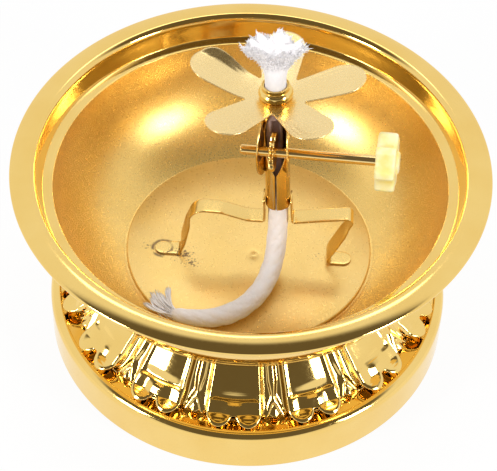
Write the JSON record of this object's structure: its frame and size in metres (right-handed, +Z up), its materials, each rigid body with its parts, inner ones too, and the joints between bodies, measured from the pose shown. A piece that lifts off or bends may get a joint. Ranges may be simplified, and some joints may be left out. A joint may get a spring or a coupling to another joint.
{
  "type": "butter lamp",
  "caption": "Footed oil or butter lamp: beaded bowl on a lotus pedestal, holding a wick burner whose spindle and knob wind the cotton wick up through a flower plate.",
  "frame": {"origin": "on the bowl's axis, at the middle of the plinth's underside, on the surface that the lamp stands on", "axes": "+Z up along the bowl's axis, -Y to the front, where the wick's tail lies, +X to the knob's side"},
  "size_m": [0.1076, 0.1076, 0.0863],
  "materials": {
    "gold_bright": "polished gold plate",
    "gold_satin": "satin gold plate",
    "knob_plastic": "pale yellow moulded plastic",
    "cotton": "white twisted cotton"
  },
  "bodies": {
    "lamp": {"bowl": "gold_bright", "base_plate": "gold_satin", "pedestal": "gold_bright", "plinth_ring": "gold_bright", "leg_left": "gold_satin", "leg_right": "gold_satin", "wick_tube": "gold_satin", "tube_collar": "gold_bright", "flower_plate": "gold_satin", "wick_tail": "cotton", "wick_fray": "cotton"},
    "winder": {"spindle": "gold_bright", "wick_wheel": "gold_bright", "knob": "knob_plastic"},
    "wick": {"wick_core": "cotton", "wick_tuft": "cotton"}
  },
  "joints": [
    {"name": "spindle_turn", "type": "hinge", "parent": "lamp", "child": "winder", "pos_m": [0.00466, -0.00571, 0.05995], "axis": [0.9887, -0.1365, 0.0625], "range_deg": [-30.5, 171]},
    {"name": "wick_slide", "type": "slide", "parent": "lamp", "child": "wick", "axis": [-0.0488, 0.1019, 0.9936], "range_m": [-0.0021, 0.0119], "deforming": ["wick_tail"]}
  ],
  "couplings": [
    {"joint": "spindle_turn", "follows": "wick_slide", "rad_per_m": 250}
  ]
}
